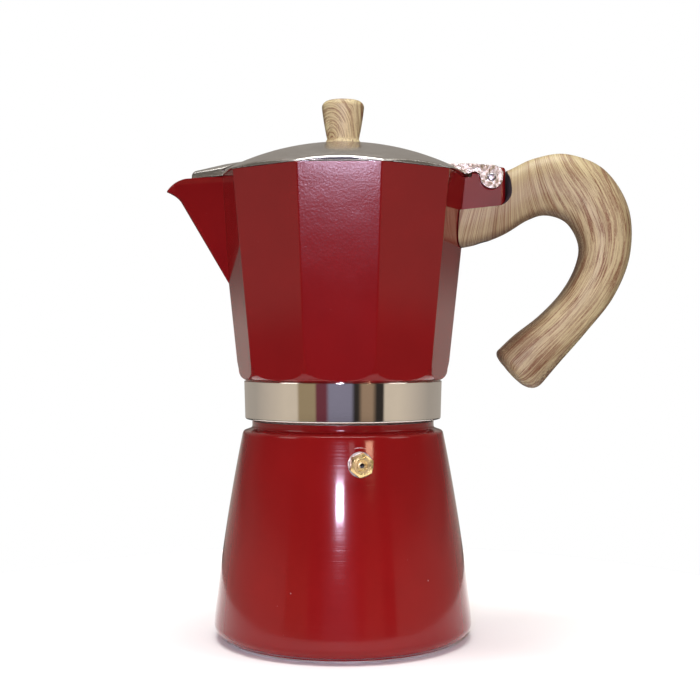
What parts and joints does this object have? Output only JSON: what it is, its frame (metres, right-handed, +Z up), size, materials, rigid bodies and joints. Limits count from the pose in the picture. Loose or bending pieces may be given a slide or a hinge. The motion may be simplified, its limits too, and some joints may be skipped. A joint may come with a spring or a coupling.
{
  "type": "moka pot",
  "caption": "Stovetop moka pot: a conical boiler with a safety valve, a lift-out funnel, and a faceted screw-on jug with a spout, a hinged lid and a hooked wood-look handle.",
  "frame": {"origin": "centre of the boiler's flat underside, on the surface the pot stands on", "axes": "+Z up along the pot's axis, +X towards the handle, -X towards the spout, +Y away from the side with the safety valve"},
  "size_m": [0.1849, 0.102, 0.2128],
  "materials": {
    "red_enamel_boiler": "glossy red enamel over cast aluminium, bare polished neck",
    "red_enamel_jug": "glossy red enamel over cast aluminium, with a bare polished skirt",
    "polished_lid": "satin polished aluminium",
    "filter_aluminium": "pressed bare aluminium",
    "seal_rubber": "off-white silicone rubber",
    "wood_print": "semi-gloss plastic printed with wood grain",
    "valve_brass": "turned brass",
    "steel": "zinc-plated steel"
  },
  "bodies": {
    "base": {"boiler": "red_enamel_boiler", "valve_body": "valve_brass", "valve_washer": "filter_aluminium", "valve_plug": "valve_brass", "valve_spring": "steel"},
    "valve_ball_body": {"valve_ball": "steel"},
    "funnel_body": {"funnel": "filter_aluminium", "funnel_sieve": "filter_aluminium"},
    "gasket_body": {"gasket": "seal_rubber"},
    "plate_body": {"filter_plate": "filter_aluminium"},
    "jug_body": {"jug": "red_enamel_jug", "hinge_pin": "steel", "handle": "wood_print", "handle_screw": "steel", "handle_washer": "steel"},
    "lid_body": {"lid": "polished_lid", "knob": "wood_print", "knob_insert": "valve_brass", "knob_screw": "steel", "knob_washer": "steel"}
  },
  "joints": [
    {"name": "funnel_lift", "type": "slide", "parent": "base", "child": "funnel_body", "axis": [0, 0, 1], "range_m": [0, 0.09]},
    {"name": "jug_lift", "type": "slide", "parent": "funnel_body", "child": "gasket_body", "axis": [0, 0, 1], "range_m": [0, 0.06]},
    {"name": "thread_rise", "type": "slide", "parent": "gasket_body", "child": "plate_body", "axis": [0, 0, 1], "range_m": [0, 0.0065]},
    {"name": "jug_turn", "type": "hinge", "parent": "plate_body", "child": "jug_body", "pos_m": [0, 0, 0.09], "axis": [0, 0, 1], "range_deg": [0, 720]},
    {"name": "lid_hinge", "type": "hinge", "parent": "jug_body", "child": "lid_body", "pos_m": [0.0585, 0, 0.181], "axis": [0, 1, 0], "range_deg": [0, 105]},
    {"name": "valve_lift", "type": "slide", "parent": "base", "child": "valve_ball_body", "axis": [0.1822, -0.9833, 0], "range_m": [0, 0.0012], "stiffness_N_per_m": 1500, "springref_m": -0.001, "deforming": ["valve_spring"]}
  ],
  "couplings": [
    {"joint": "thread_rise", "follows": "jug_turn", "m_per_rad": 0.00047746}
  ]
}
